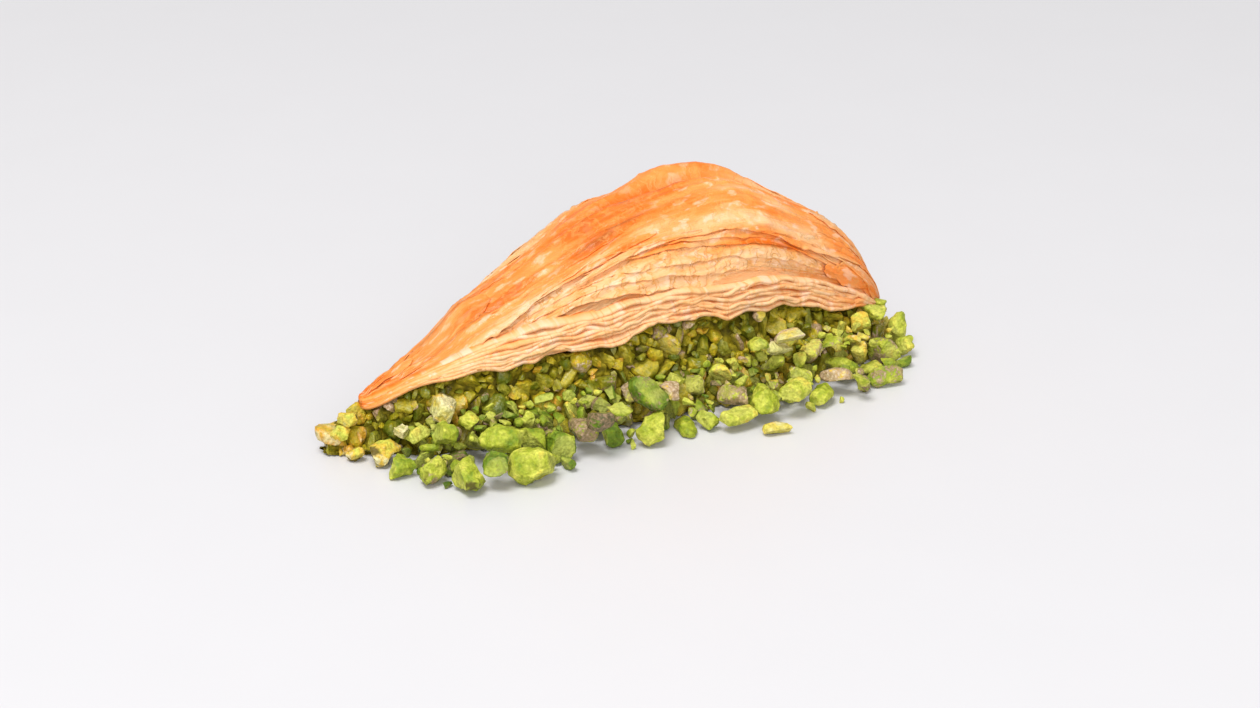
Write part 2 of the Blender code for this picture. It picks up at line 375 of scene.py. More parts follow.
# %% The line of the shelf, where the crust ends
SHELF = [(0.00, 3.0), (0.05, 20.0), (0.10, 34.0), (0.18, 42.0), (0.28, 47.0), (0.36, 48.0), (0.42, 43.0),
         (0.48, 37.0), (0.56, 34.0), (0.64, 32.0), (0.70, 29.0), (0.77, 30.0), (0.84, 27.0), (0.90, 21.0),
         (0.95, 8.0), (1.00, 2.0)]
CRUST_LIFT = -0.3 * MM       # of the outermost leaf over the smooth dome, before its folds
LIP_ABOVE_SHELF = 7.0        # how far above the shelf line the crust ends, in degrees


def line_along(share, seed):
    """Points along a straight line for noise to read; each seed is another line."""
    return np.stack([share * LENGTH, np.full(len(share), seed), np.zeros(len(share))], axis=1)


def shelf_angle(share, seed):
    """The angle at which the crust ends at each share of the length, with a ragged edge."""
    line = line_along(share, seed)
    slow = 2.2 * lumps(line, 14 * MM, seed)
    quick = 1.3 * lumps(line, 3.4 * MM, seed + 5.0)
    return np.maximum(curve(SHELF, share) + (slow + quick) * calm(share), 0.5)


def crust_lift(share, angle):
    """Height of the outermost leaf over the smooth dome, with every fold, wrinkle and step."""
    return CRUST_LIFT + fold_height(share, angle) + wrinkle_height(share, angle) + step_height(share, angle)


def crust_place(along, across):
    """The crust runs from the front shelf over the crest to the back shelf."""
    front = shelf_angle(along, 1.3) + LIP_ABOVE_SHELF * calm(along)
    back = 180.0 - shelf_angle(along, 12.6) - LIP_ABOVE_SHELF * calm(along)
    angle = front + (back - front) * across
    lip = np.exp(-(np.minimum(across, 1.0 - across) / 0.02) ** 2)
    lift = crust_lift(along, angle)
    lift += 0.5 * MM * lip * calm(along)
    return over_dome(along, angle, lift), along, angle, toast_and_painted_light(along, angle)


crust = lay_leaf("crust", 280, 136, crust_place, 0.35 * MM)

# %% [markdown]
# ## The leaves that show under the crust
# Below the lip the side is a stack of leaves, each ending a little lower and lying a little deeper than the
# one above. Those just under the lip overlap like roof tiles. One function lays them all: it takes the
# angles where a leaf starts and stops, measured down from the shelf, and how deep it lies.

# %% Overlapping leaves on both sides
# Each leaf: how far above the shelf line its hidden top edge is, how far below the line it ends, and how
# deep it lies in mm. The first two belong to the crust; the others, deeper in, are paler with fine ribs.
TILES = [(15.0, -3.6, 0.30), (11.0, -0.4, 0.55), (7.0, 8.0, 1.00), (-2.0, 14.0, 1.20), (-7.0, 21.0, 1.40)]


def tile_place(side, number):
    """The laying function of one overlapping leaf on the front (side 0) or the back (side 1)."""
    above, below, depth = TILES[number]

    def place(along, across):
        shelf = shelf_angle(along, 20.0 + 3.7 * number + 40.0 * side)
        low = np.maximum(shelf - below * (0.35 + 0.65 * calm(along)), 0.5)
        high = np.maximum(shelf + above, low + 1.0)
        height = low + (high - low) * (1.0 - across if side else across)
        angle = 180.0 - height if side else height
        seed = 31.0 + 2.9 * number
        spot = dome_map(along, angle)
        own = 0.35 * ripples(spot, 12, 4, seed) * calm(along)
        uneven = 0.5 + ripples(spot, 9, 30, seed + 3.0)
        curl = 0.55 * np.exp(-((height - low) / 1.6) ** 2) * uneven
        lift = CRUST_LIFT + fold_height(along, angle) + (own + curl * calm(along) - depth * calm(along)) * MM
        lift += 0.6 * wrinkle_height(along, angle)
        if number >= 2:
            lift += 0.32 * MM * calm(along) * ripples(spot, 1.9, 16, seed + 6.0)
        shaded = 1.0 if number < 2 else 0.65 + 0.35 * near_ends(along)
        return over_dome(along, angle, lift), along, angle, toast_and_painted_light(along, angle) * shaded
    return place


tiles = []
for side, side_name in enumerate(("front", "back")):
    for number in range(len(TILES)):
        tiles.append(lay_leaf(f"leaf_{side_name}_{number + 1}", 300, 22, tile_place(side, number), 0.3 * MM))

# %% [markdown]
# ## Loose strips on the crust
# The top leaves crack as they bake, and long pieces of them lie over one another with lifted, ragged edges.
# Each strip is a narrow leaf over the crust, pointed at both ends, laid by the same folds so that it nests.
# The list says where each one lies: from which share of the length to which, and between which angles.

# %% Strips and flakes of the top leaf
STRIPS = [
    # from share, to share, from angle, to angle, lift in mm
    (0.01, 0.24, 62, 112, 0.15), (0.02, 0.30, 38, 70, 0.50), (0.00, 0.20, 14, 44, 0.45),
    (0.06, 0.36, 100, 128, 0.05), (0.10, 0.42, 50, 62, 0.40), (0.18, 0.50, 62, 76, 0.10),
    (0.22, 0.52, 47, 54, 0.25), (0.36, 0.60, 41, 46, 0.25), (0.80, 0.97, 50, 60, 0.10),
    (0.70, 0.99, 32, 43, 0.35), (0.84, 1.00, 66, 90, 0.20), (0.84, 1.00, 12, 32, 0.05),
    # on the back
    (0.55, 0.74, 122, 134, 0.22), (0.20, 0.60, 130, 142, 0.08), (0.55, 0.94, 138, 148, 0.40),
    (0.08, 0.40, 140, 156, 0.45), (0.78, 0.98, 112, 134, 0.35),
    # the twisted strands of the tip
    (0.00, 0.09, 24, 52, 0.80), (0.00, 0.12, 58, 80, 0.85), (0.01, 0.10, 84, 100, 0.80),
    (0.00, 0.11, 104, 136, 0.75), (0.02, 0.15, 36, 50, 0.70),
]


def strip_place(start, stop, low, high, lift, seed):
    """The laying function of one strip."""
    def place(along, across):
        share = start + (stop - start) * along
        line = line_along(share, seed)
        swell = np.clip(np.sin(math.pi * along), 0.02, 1.0) ** 0.45
        beside = 2.0 * across - 1.0
        middle = (low + high) / 2 + 2.5 * lumps(line, 24 * MM, seed)
        ragged = 1.0 + 0.35 * lumps(line, 9 * MM, seed + 3.0 * np.sign(beside).mean())
        ragged = ragged + 0.22 * lumps(line, 2.4 * MM, seed)
        angle = np.clip(middle + (high - low) / 2 * swell * ragged * beside, 1.0, 179.0)
        edge = np.abs(beside) ** 5
        curl = 0.45 * edge * (0.4 + lumps(line, 8 * MM, seed + 8.0))
        rise = crust_lift(share, angle)
        rise += (lift * (0.5 + 0.5 * swell) + curl) * MM * (0.5 + 0.5 * calm(share))
        toast = np.clip(toast_and_painted_light(share, angle) + 0.10 * math.sin(seed * 2.4), 0.0, 1.0)
        return over_dome(share, angle, rise), share, angle, toast
    return place


strips = []
for number, (start, stop, low, high, lift) in enumerate(STRIPS):
    strips.append(lay_leaf(f"strip_{number + 1}", int(60 + 300 * (stop - start)), 10,
                           strip_place(start, stop, low, high, lift, 100.0 + 1.7 * number), 0.15 * MM))

# %% [markdown]
# ## The page edges at the foot
# Lowest of all, the leaves lie flat like the pages of a book, with only their wavy edges showing and dark
# gaps between them. Each page is a narrow strip that starts inside the pastry and comes out through its
# side. At the tip the pages fan out over nearly the whole height of the side, so their levels are a share
# of the height there.

# %% Pages on both sides
PAGES = 9
PAGE_INSET = 6.0 * MM        # how far a page reaches into the pastry
# How far up the side the pages reach, as a share of its height, at shares of the length.
PAGE_TOP = [(0.00, 0.80), (0.10, 0.74), (0.20, 0.62), (0.32, 0.44), (0.42, 0.33), (0.50, 0.28), (0.85, 0.25),
            (1.00, 0.18)]


def foot_wave(share, side):
    """How the lowest pages rise and dip along the pastry's foot."""
    line = line_along(share, 90.0 + 7.0 * side)
    return (2.2 * lumps(line, 19 * MM, 3.0) + 2.2 * lumps(line, 8 * MM, 6.0)) * MM


def page_place(side, number):
    """The laying function of one page edge, counted from the lowest."""
    def place(along, across):
        seed = 50.0 + 4.3 * number + 60.0 * side
        line = line_along(along, seed)
        height_share = (number + 0.35) / PAGES * curve(PAGE_TOP, along)
        height = np.degrees(np.arcsin(np.clip(height_share, 0.001, 1.0) ** (1.0 / ARCH_RISE)))
        angle = 180.0 - height if side else height
        outward = np.array([0.0, 1.0 if side else -1.0, 0.0])
        proud = (-0.10 + 0.80 * lumps(line, 11 * MM, seed) + 0.50 * lumps(line, 2.2 * MM, seed)) * MM
        reach = -PAGE_INSET * (1.0 - across) + proud * across
        wave = (1.2 * lumps(line, 15 * MM, seed + 9.0) + 0.60 * lumps(line, 5.0 * MM, seed + 2.0)) * MM
        wave += foot_wave(along, side) * (1.0 - number / PAGES)
        droop = -(0.7 + 1.2 * lumps(line, 6 * MM, seed + 4.0)) * MM * across ** 3
        points = on_dome(along, angle) + outward * (reach * calm(along))[:, None]
        points[:, 2] += (wave * (0.35 + 0.65 * across) + droop) * calm(along)
        browned = 0.35 + 0.65 * near_ends(along)
        # Painted shade: the part of each page that lies back between the pages is made browner, so the gaps
        # read darker.
        inside = 1.0 - ease(across, 0.45, 0.9)
        toast = toast_and_painted_light(along, angle) * browned + 0.30 * inside + 0.14 * lumps(line, 8 * MM, seed)
        return points, along, angle, np.clip(toast, 0.0, 1.0)
    return place


pages = []
for side, side_name in enumerate(("front", "back")):
    for number in range(PAGES):
        pages.append(lay_leaf(f"page_{side_name}_{number + 1}", 300, 7, page_place(side, number), 0.90 * MM))

# %% [markdown]
# ## The inside of the stack
# Behind the page edges the gaps must not look through to nothing. The inside is a copy of the pastry solid,
# merged and drawn in a little by a Displace modifier. Its top is lowered too, because the crust sinks below
# the solid's crest.

# %% The crumb behind the leaves
def copy_of_node(node, name):
    """A merged copy of a frame node's mesh, as a new piece."""
    nothing_selected()
    piece = new_object(name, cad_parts[node].data.copy())
    bpy.context.view_layer.objects.active = piece
    piece.select_set(True)
    piece.data.materials.clear()
    edit_all(bpy.ops.mesh.remove_doubles, threshold=0.00001)
    return piece


CRUMB_INSET = 1.6 * MM
CRUMB_SINK = 7.0 * MM        # how far its crest is lowered
crumb = copy_of_node("pastry", "crumb")
apply_modifier(crumb, "DISPLACE", strength=-CRUMB_INSET, mid_level=0.0)
spots = points_of(crumb.data)
crumb_share = (spots[:, 0] - TIP_X) / LENGTH
crest_height = section_at(crumb_share)[1][1]
near_crest = ease(spots[:, 2] / np.maximum(crest_height, 1 * MM), 0.55, 0.90)
where_thick = ease(height_at(crumb_share), 8 * MM, 30 * MM)
spots[:, 2] -= CRUMB_SINK * near_crest * where_thick
move_points(crumb.data, spots)
set_attribute(crumb.data, "toast", 0.30 + 0.2 * lumps(spots, 6 * MM))
set_attribute(crumb.data, "lay", spots)
bpy.ops.object.shade_smooth()

# %% [markdown]
# ## Filo finishes
# Baked filo goes from cream through honey to orange brown, and its glaze is thin syrup. The colour is a
# ramp over the stored toasting, which also holds some painted light and shade, broken up by streaks that
# run along the leaf, small pale flecks and a net of fine cracks. The pale flecks are partly pale spots of
# the leaf and partly painted glints of the syrup glaze. The net is a Voronoi pattern whose place is bent
# by noise. The crust has a coat for the syrup; the page edges are dry. A little light passes into the
# leaves.

# %% Node helpers
def start_material(name):
    """A new node material and its shader."""
    material = bpy.data.materials.new(name)
    material.use_nodes = True
    return material, material.node_tree, material.node_tree.nodes["Principled BSDF"]


def add_node(tree, kind, links=(), **settings):
    """Adds a node. Settings are its own fields; links are (its input, a value or another node's output)."""
    made = tree.nodes.new(kind)
    for name, value in settings.items():
        setattr(made, name, value)
    for socket, source in links:
        if isinstance(source, bpy.types.NodeSocket):
            tree.links.new(source, made.inputs[socket])
        else:
            made.inputs[socket].default_value = source
    return made


def stored(tree, name, output="Fac"):
    """What a piece keeps under this name at each point."""
    return add_node(tree, "ShaderNodeAttribute", attribute_name=name).outputs[output]


def set_sockets(shader, **numbers):
    """Sets the shader's own sockets; their names are given with _ for each space."""
    for name, number in numbers.items():
        shader.inputs[name.replace("_", " ")].default_value = number


def add_bump(tree, shader, height, strength, distance):
    """Gives the shader a fine relief; distance is its depth in metres."""
    bump = add_node(tree, "ShaderNodeBump", [("Strength", strength), ("Distance", distance),
                                             ("Height", height)])
    tree.links.new(bump.outputs["Normal"], shader.inputs["Normal"])


def ramp(tree, source, stops):
    """A colour ramp with (place, colour) stops."""
    made = add_node(tree, "ShaderNodeValToRGB", [("Fac", source)])
    while len(made.color_ramp.elements) < len(stops):
        made.color_ramp.elements.new(0.5)
    for element, (place, colour) in zip(made.color_ramp.elements, stops):
        element.position = place
        element.color = (*colour, 1.0)
    return made.outputs["Color"]


def level(tree, source, low, high, start=0.0, stop=1.0):
    """Maps a number from low..high to start..stop, held inside."""
    made = add_node(tree, "ShaderNodeMapRange", [("Value", source), ("From Min", low), ("From Max", high),
                                                  ("To Min", start), ("To Max", stop)])
    return made.outputs["Result"]


def maths(tree, operation, first, second):
    """One sum on two numbers."""
    made = add_node(tree, "ShaderNodeMath", [(0, first), (1, second)], operation=operation)
    return made.outputs["Value"]


def vary(tree, number, source, amount):
    """Adds noise to a number, up to this much more or less."""
    return maths(tree, "ADD", number, level(tree, source, 0.3, 0.7, -amount, amount))


def mix(tree, share, first, second):
    """Mixes two colours."""
    made = add_node(tree, "ShaderNodeMix", data_type="RGBA", blend_type="MIX")
    for socket, source in zip((made.inputs[0], made.inputs[6], made.inputs[7]), (share, first, second)):
        if isinstance(source, bpy.types.NodeSocket):
            tree.links.new(source, socket)
        elif isinstance(source, tuple):
            socket.default_value = (*source, 1.0)
        else:
            socket.default_value = source
    return made.outputs[2]


def speckle(tree, where, scale, stretch=(1.0, 1.0, 1.0), detail=2.0):
    """Noise at a scale in lumps for each metre, stretched along the axes."""
    placed = add_node(tree, "ShaderNodeMapping", [("Vector", where), ("Scale", stretch)])
    made = add_node(tree, "ShaderNodeTexNoise", [("Vector", placed.outputs["Vector"]), ("Scale", scale),
                                                 ("Detail", detail)])
    return made.outputs["Fac"]

# %% The filo material
# The toasting at which each colour stands, from cream to dark brown.
FILO_RAMP = [(0.00, (0.88, 0.56, 0.31)), (0.25, (0.92, 0.48, 0.21)), (0.50, (0.92, 0.305, 0.062)),
             (0.78, (0.87, 0.17, 0.008)), (1.00, (0.50, 0.11, 0.008))]


def filo(name, gloss, roughness, cracks, pale_flecks_and_glints):
    """Baked filo; gloss is the syrup coat; cracks and pale_flecks_and_glints are how strong the cracks and
    the pale flecks, partly painted glints, are.
    """
    material, tree, shader = start_material(name)
    lay = stored(tree, "lay", "Vector")
    toast = stored(tree, "toast")
    streaks = speckle(tree, lay, 700.0, (0.12, 1.0, 1.0), 3.0)
    patches = speckle(tree, lay, 130.0, (0.45, 1.0, 1.0), 3.0)
    shade = vary(tree, vary(tree, toast, streaks, 0.07), patches, 0.17)
    colour = ramp(tree, shade, FILO_RAMP)
    # Pale flecks: partly pale spots of the leaf, partly painted glints of the glaze.
    pale = speckle(tree, lay, 250.0, (0.85, 1.0, 1.0), 5.0)
    pale = level(tree, pale, 0.55, 0.62, 0.0, pale_flecks_and_glints)
    pale = maths(tree, "MULTIPLY", pale, level(tree, toast, 0.45, 0.80, 1.0, 0.10))
    colour = mix(tree, pale, colour, (0.96, 0.62, 0.42))
    wander = add_node(tree, "ShaderNodeTexNoise", [("Vector", lay), ("Scale", 260.0), ("Detail", 4.0)])
    bent = add_node(tree, "ShaderNodeVectorMath", [(0, wander.outputs["Color"]), (1, (0.009, 0.008, 0.0))],
                    operation="MULTIPLY")
    bent = add_node(tree, "ShaderNodeVectorMath", [(0, lay), (1, bent.outputs["Vector"])], operation="ADD")
    cells = add_node(tree, "ShaderNodeMapping", [("Vector", bent.outputs["Vector"]),
                                                 ("Scale", (1.0, 0.32, 1.0))])
    crackle = add_node(tree, "ShaderNodeTexVoronoi", [("Vector", cells.outputs["Vector"]), ("Scale", 380.0)],
                       feature="DISTANCE_TO_EDGE")
    crack = level(tree, crackle.outputs["Distance"], 0.0, 0.13, cracks, 0.0)
    crack = maths(tree, "MULTIPLY", crack, level(tree, speckle(tree, lay, 190.0), 0.34, 0.54))
    colour = mix(tree, crack, colour, (0.82, 0.36, 0.09))
    tree.links.new(colour, shader.inputs["Base Color"])
    dull = level(tree, patches, 0.35, 0.65, roughness - 0.08, roughness + 0.12)
    tree.links.new(dull, shader.inputs["Roughness"])
    set_sockets(shader, Coat_Weight=gloss, Coat_Roughness=0.16, Specular_IOR_Level=0.25,
                Subsurface_Weight=0.10, Subsurface_Radius=(0.0012, 0.0006, 0.0003), Subsurface_Scale=1.0)
    fine = speckle(tree, lay, 2600.0, (0.25, 1.0, 1.0), 3.0)
    relief = maths(tree, "SUBTRACT", maths(tree, "ADD", streaks, fine), crack)
    add_bump(tree, shader, relief, 0.60, 0.35 * MM)
    return material


glazed_crust = filo("glazed_crust", gloss=0.18, roughness=0.42, cracks=0.50, pale_flecks_and_glints=0.60)
baked_leaf = filo("baked_leaf", gloss=0.05, roughness=0.50, cracks=0.95, pale_flecks_and_glints=0.60)
page_edge = filo("page_edge", gloss=0.0, roughness=0.60, cracks=0.55, pale_flecks_and_glints=0.80)
soft_crumb = filo("soft_crumb", gloss=0.0, roughness=0.75, cracks=0.0, pale_flecks_and_glints=0.0)

finish_piece(crust, "pastry", glazed_crust)
for tile in tiles:
    finish_piece(tile, "pastry", glazed_crust if tile.name[-1] in "12" else baked_leaf)
for strip in strips:
    finish_piece(strip, "pastry", glazed_crust)
for page in pages:
    finish_piece(page, "pastry", page_edge)
finish_piece(crumb, "pastry", soft_crumb)

# %% [markdown]
# ## Model the nuts once
# A pistachio kernel is a long rounded body with a seam. Chopping breaks it across, so a chunk is rounded on
# one side and flat where it broke. Each kind is modelled a few times over: a sphere is stretched to the
# kernel's size and cut by bisect, which fills the holes. A Remesh modifier then makes it of small even
# faces, Smooth blunts its edges, and Decimate leaves as many faces as the kind needs. Noise bends and
# roughens it at last. The cut sides are paler than the skin side, so every point keeps whether it lies
# inside the whole kernel.
#
# The sphere and the cuts may number their points otherwise from run to run. That would change every later
# step a little, so the mesh is put in order after each of them.

# %% Model one nut
class Nut:
    """A nut's points, triangles and how much of each point is a cut side."""
    def __init__(self, points, triangles, cut):
        self.points, self.triangles, self.cut = points, triangles, cut


def put_in_order(piece):
    """Numbers a mesh's points and faces by where they are, so that the next step starts the same each run."""
    mesh = piece.data
    points = points_of(mesh)
    order = np.lexsort(points.round(8).T)
    rank = np.argsort(order)
    faces = []
    for polygon in mesh.polygons:
        corners = [int(rank[index]) for index in polygon.vertices]
        first = corners.index(min(corners))
        faces.append(corners[first:] + corners[:first])
    mesh.clear_geometry()
    mesh.from_pydata(points[order].tolist(), [], sorted(faces))


def model_nut(radii, cuts, seed, faces, warp, roughen, voxel=0.42, smoothing=1, grit=0.0):
    """A kernel of these half-sizes in mm, cut by planes given as (direction, share of the half-size kept).

    faces is about how many triangles it ends with, and 0 leaves it as it was cut. warp, roughen and grit are
    how far it is bent, roughened and pitted, and voxel is the size of its even faces, all in mm.
    """
    nothing_selected()
    segments, rings = (16, 10) if faces else (6, 5)
    bpy.ops.mesh.primitive_uv_sphere_add(segments=segments, ring_count=rings, radius=1.0)
    nut = bpy.context.object
    edit_all(bpy.ops.transform.rotate, value=math.radians(90), orient_axis="Y", center_override=(0, 0, 0))
    edit_all(bpy.ops.transform.resize, value=[radius * MM for radius in radii], center_override=(0, 0, 0))
    put_in_order(nut)
    for direction, kept in cuts:
        facing = Vector(direction).normalized()
        reach = math.sqrt(sum((facing[axis] * radii[axis]) ** 2 for axis in range(3))) * MM
        edit_all(bpy.ops.mesh.bisect, plane_co=facing * reach * kept, plane_no=facing,
                 use_fill=True, clear_outer=True)
        put_in_order(nut)
    if faces:
        apply_modifier(nut, "REMESH", mode="VOXEL", voxel_size=voxel * MM)
        put_in_order(nut)
        apply_modifier(nut, "SMOOTH", factor=0.5, iterations=smoothing)
        apply_modifier(nut, "DECIMATE", ratio=min(1.0, faces / (2.0 * len(nut.data.polygons))))
    apply_modifier(nut, "TRIANGULATE")
    points = points_of(nut.data)
    whole = np.linalg.norm(points / (np.array(radii) * MM), axis=1)
    cut = 1.0 - ease(whole, 0.84, 0.95)
    bend = np.stack([lumps(points, 4.5 * MM, seed + shift) for shift in (0.0, 20.0, 40.0)], axis=1)
    rough = np.stack([lumps(points, 1.5 * MM, seed + shift) for shift in (60.0, 80.0, 100.0)], axis=1)
    pits = np.stack([lumps(points, 0.7 * MM, seed + shift) for shift in (15.0, 35.0, 55.0)], axis=1)
    points = points + (bend * warp + rough * roughen + pits * grit) * 2.0 * MM
    points = points - points.mean(axis=0)
    triangles = np.array([polygon.vertices[:] for polygon in nut.data.polygons])
    mesh = nut.data
    bpy.data.objects.remove(nut)
    bpy.data.meshes.remove(mesh)
    return Nut(points, triangles, cut)


def random_cuts(count, low, high):
    """Cutting planes in random directions."""
    cuts = []
    for _ in range(count):
        direction = Vector((draw.gauss(0, 1), draw.gauss(0, 1), draw.gauss(0, 1)))
        cuts.append((direction, draw.uniform(low, high)))
    return cuts

# %% [markdown]
# The kinds differ in size and in how they broke. Every size and cut is drawn at random near the usual one,
# and sizes are half-lengths in mm: a whole kernel is about 13 mm long. The small kinds are used by the
# hundred, so they have few faces; the large pieces are seen one by one and have more.

# %% The kinds of nut
def spread(middle, share):
    """A number near middle, up to this share more or less."""
    return middle * draw.uniform(1.0 - share, 1.0 + share)


def kernel_cuts(number):
    """Nearly whole, or split along its length."""
    cuts = [((draw.uniform(-0.2, 0.2), draw.uniform(-0.4, 0.4), -1.0), draw.uniform(0.05, 0.6))]
    if number % 2:
        cuts.append(((1.0, draw.uniform(-0.5, 0.5), draw.uniform(-0.4, 0.4)), draw.uniform(0.35, 0.8)))
    if number % 3:
        cuts.append(((-1.0, draw.uniform(-0.7, 0.7), draw.uniform(-0.7, 0.7)), draw.uniform(0.55, 0.9)))
    return cuts


def chunk_cuts(number):
    """Broken across, with two to five broken sides."""
    return random_cuts(draw.choice((2, 3, 4, 5)), 0.18, 0.66)


def sliver_cuts(number):
    """A long thin splinter."""
    return [((0.0, draw.uniform(-1, 1), -1.0), draw.uniform(0.1, 0.5)), ((1.0, 0.3, 0.2), 0.75),
            ((0.0, draw.uniform(-1, 1), 1.0), draw.uniform(0.1, 0.6)),
            ((-1.0, draw.uniform(-0.6, 0.6), 0.1), 0.72)]


def crumb_cuts(number):
    """A small grain with three broken sides."""
    return random_cuts(3, 0.15, 0.6)


def piece_cuts(number):
    """Both ends broken off, and one to three broken sides more."""
    cuts = [((1.0, draw.uniform(-0.5, 0.5), draw.uniform(-0.5, 0.5)), draw.uniform(0.15, 0.60)),
            ((-1.0, draw.uniform(-0.6, 0.6), draw.uniform(-0.6, 0.6)), draw.uniform(0.45, 0.85))]
    return cuts + random_cuts(draw.choice((1, 2, 3)), 0.35, 0.75)


def model_kind(count, sizes, shares, cuts_of, seed_step, **settings):
    """Nuts of near these half-sizes, each up to its share more or less; cuts_of gives each one's cuts."""
    made = []
    for number in range(count):
        radii = [spread(size, share) for size, share in zip(sizes, shares)]
        made.append(model_nut(radii, cuts_of(number), number * seed_step, **settings))
    return made


NUTS = {
    "kernels": model_kind(12, (6.6, 3.6, 3.3), (0.12, 0.12, 0.12), kernel_cuts, 3.3,
                          faces=520, warp=0.55, roughen=0.20),
    "chunks": model_kind(30, (4.6, 3.8, 3.5), (0.2, 0.15, 0.15), chunk_cuts, 5.1,
                         faces=300, warp=0.60, roughen=0.30),
    "slivers": model_kind(12, (4.4, 2.3, 2.0), (0.2, 0.2, 0.2), sliver_cuts, 2.7,
                          faces=150, warp=0.6, roughen=0.15),
    "crumbs": model_kind(12, (1.6, 1.3, 1.1), (0.3, 0.3, 0.3), crumb_cuts, 4.9,
                         faces=0, warp=0.25, roughen=0.1),
    "pieces": model_kind(26, (6.2, 3.9, 3.6), (0.12, 0.12, 0.12), piece_cuts, 6.7,
                         faces=1000, warp=0.70, roughen=0.25, voxel=0.30, smoothing=3, grit=0.07),
}
for kind, shapes in NUTS.items():
    print(kind, len(shapes), "shapes of", [len(shape.triangles) for shape in shapes][:5], "triangles")

# %% [markdown]
# ## Pile the loose nuts
# The loose nuts lie on the surface, on each other and against the filling. They are dropped one at a time
# onto a map of heights: each comes down until its underside touches, and then raises the map itself. So
# none floats and none sinks into another. The frame's solid for the loose nuts says how high the pile may
# grow at each place. The largest pieces, which can be told apart one by one, are placed from a list.

# %% The map of heights
CELL = 0.8 * MM
FILLING_INSET = 1.2 * MM     # how far below the filling solid's surface the loose nuts may rest on it
MAP_X = np.arange(-100 * MM, 100 * MM, CELL)
MAP_Y = np.arange(-58 * MM, 62 * MM, CELL)


def tree_of(node):
    """A search tree over a frame node's faces."""
    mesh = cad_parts[node].data
    places = [vertex.co for vertex in mesh.vertices]
    return BVHTree.FromPolygons(places, [face.vertices for face in mesh.polygons])


TREES = {node: tree_of(node) for node in ("pastry", "filling", "loose_nuts")}


def height_map(node):
    """How high a node's top is over each cell, and 0 beside it."""
    heights = np.zeros((len(MAP_X), len(MAP_Y)))
    for row, x in enumerate(MAP_X):
        for column, y in enumerate(MAP_Y):
            hit = TREES[node].ray_cast(Vector((x, y, 0.1)), Vector((0, 0, -1)))[0]
            if hit is not None:
                heights[row, column] = hit.z
    return heights


ground = np.maximum(height_map("filling") - FILLING_INSET, 0.0)
pile_limit = height_map("loose_nuts")
print(f"highest filling {ground.max() / MM:.1f} mm, highest pile {pile_limit.max() / MM:.1f} mm")

# %% Drop one nut
class Placed:
    """A nut with its place: kind and number of the shape, turning matrix, middle, tint and skin."""
    def __init__(self, kind, number, matrix, place, tint, skin):
        self.kind, self.number, self.matrix, self.place = kind, number, matrix, np.array(place)
        self.tint, self.skin = tint, skin


def turned(heading, tilt, roll, size):
    """A matrix that rolls a nut about its length, tips it up, heads it round and sizes it, in degrees."""
    turn = Euler((math.radians(roll), math.radians(tilt), math.radians(heading)), "XYZ").to_matrix()
    return np.array(turn) * size


def cells_under(points, x, y):
    """The cells of the map that these points of a nut are over."""
    rows = np.clip(((points[:, 0] + x - MAP_X[0]) / CELL).round().astype(int), 0, len(MAP_X) - 1)
    columns = np.clip(((points[:, 1] + y - MAP_Y[0]) / CELL).round().astype(int), 0, len(MAP_Y) - 1)
    return rows, columns


def samples(shape, matrix):
    """Points and face middles of a nut, turned and sized."""
    points = shape.points @ matrix.T
    return np.concatenate([points, points[shape.triangles].mean(axis=1)])


def resting_height(points, x, y):
    """How high a nut's middle is when it has come down here."""
    rows, columns = cells_under(points, x, y)
    return (ground[rows, columns] - points[:, 2]).max()


def settle(points, x, y, z):
    """Raises the map by a nut that has come to rest."""
    rows, columns = cells_under(points, x, y)
    np.maximum.at(ground, (rows, columns), points[:, 2] + z)

# %% [markdown]
# ### The nuts that can be told apart
# These nuts are listed with their place in mm, kind, number of the shape, size, heading, tilt and
# roll in degrees, and their colour: tint 0 is deep leaf green, 0.5 lime and 1 pale yellow; skin is how much
# of the mauve skin is left on. The first list lies on the surface. The second lies on the pile, so the pile
# is kept lower there.

